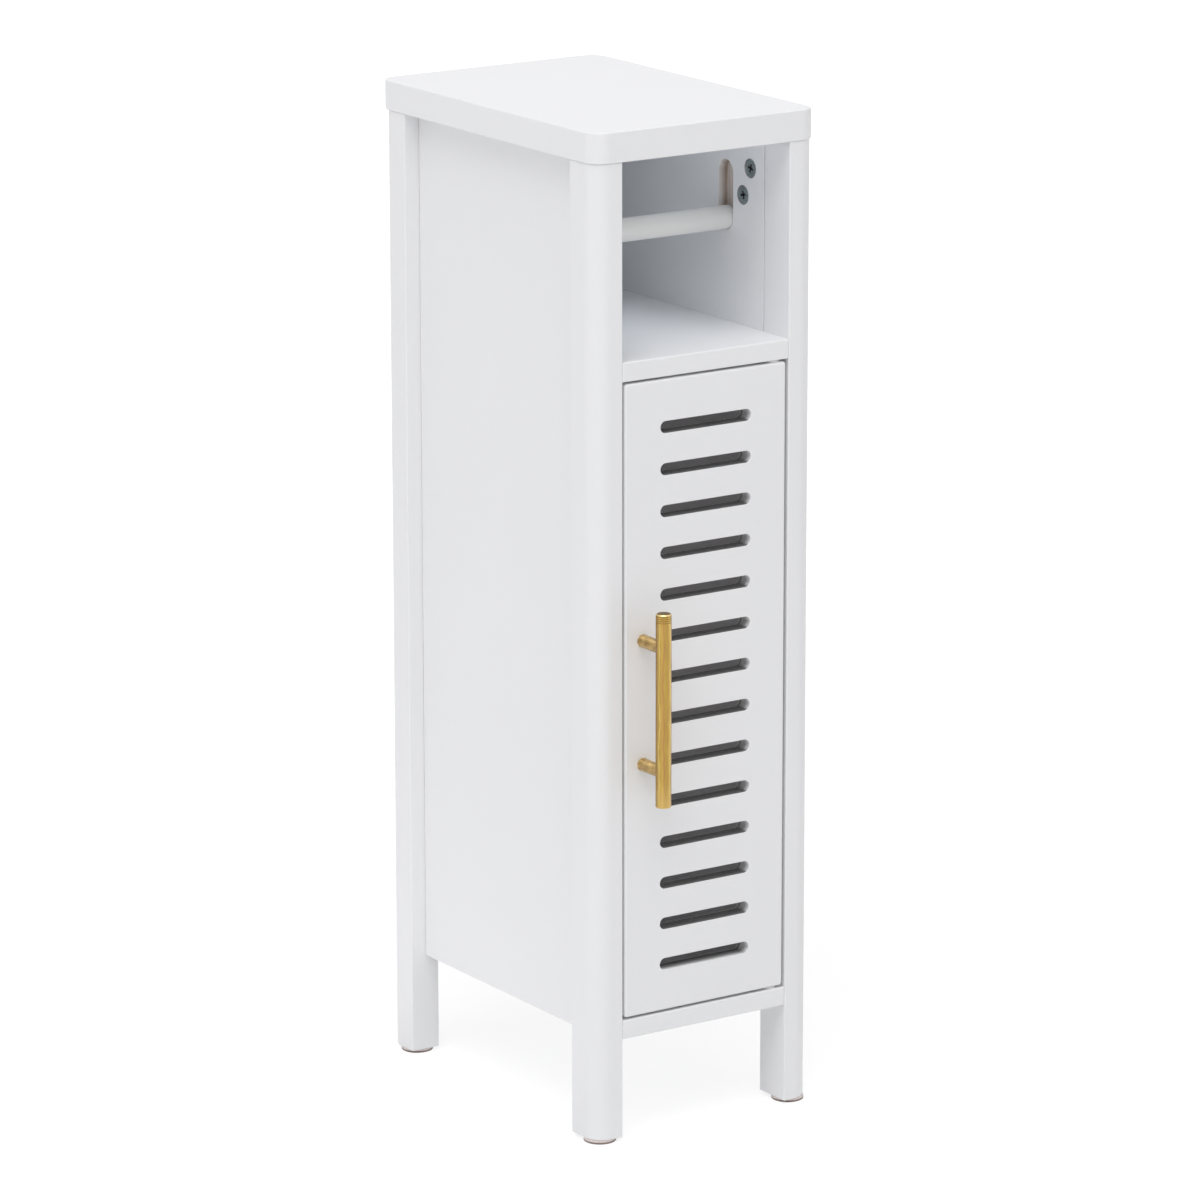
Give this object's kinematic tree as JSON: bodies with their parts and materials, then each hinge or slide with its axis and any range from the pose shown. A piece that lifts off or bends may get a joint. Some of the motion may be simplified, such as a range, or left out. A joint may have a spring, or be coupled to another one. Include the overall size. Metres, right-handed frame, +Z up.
{
  "type": "toilet roll storage cabinet",
  "caption": "Slim free-standing bathroom cabinet on post legs: thick rounded top, open bay with a lift-out toilet roll bar, and a slotted hinged door with a bar handle over a storage space.",
  "frame": {"origin": "on the floor, under the middle of the whole object's box", "axes": "+Z up, +X to the right as seen from the front, -Y towards the front (the door)"},
  "size_m": [0.202, 0.3318, 0.78],
  "materials": {
    "white_paint": "white satin paint on MDF",
    "gold": "brushed gold",
    "zinc": "dark die-cast zinc",
    "steel": "zinc-plated steel",
    "birch": "plain birch dowel",
    "felt": "brown felt",
    "nylon": "natural white nylon",
    "magnet": "dark ferrite"
  },
  "bodies": {
    "cabinet": {"top_panel": "white_paint", "front_left_post": "white_paint", "front_right_post": "white_paint", "rear_left_post": "white_paint", "rear_right_post": "white_paint", "left_side_panel": "white_paint", "right_side_panel": "white_paint", "roll_shelf": "white_paint", "bottom_board": "white_paint", "back_panel": "white_paint", "top_cam_locks": "zinc", "post_cam_locks": "zinc", "shelf_cam_locks": "zinc", "bottom_cam_locks": "zinc", "top_cam_bolts": "steel", "post_cam_bolts": "steel", "shelf_cam_bolts": "steel", "bottom_cam_bolts": "steel", "top_dowels": "birch", "post_dowels": "birch", "shelf_dowels": "birch", "bottom_dowels": "birch", "back_panel_screws": "steel", "front_left_pad": "felt", "front_right_pad": "felt", "rear_left_pad": "felt", "rear_right_pad": "felt", "upper_pivot_pin": "steel", "lower_pivot_pin": "steel", "lower_pivot_washer": "nylon", "catch_housing": "nylon", "catch_magnet": "magnet", "catch_pole_plates": "steel", "catch_screws": "steel"},
    "door": {"door_panel": "white_paint", "upper_pivot_bush": "nylon", "lower_pivot_bush": "nylon", "upper_pivot_washer": "nylon", "handle_bar": "gold", "upper_handle_post": "gold", "lower_handle_post": "gold", "handle_screws": "steel", "strike_plate": "steel", "strike_screw": "steel"},
    "roll_bar": {"roll_bar": "white_paint"}
  },
  "joints": [
    {"name": "door_hinge", "type": "hinge", "parent": "cabinet", "child": "door", "pos_m": [0.06385, -0.1249, 0.344], "axis": [0, 0, 1], "range_deg": [0, 110]},
    {"name": "roll_bar_lift", "type": "slide", "parent": "cabinet", "child": "roll_bar", "axis": [0, 0, 1], "range_m": [0, 0.035]}
  ]
}
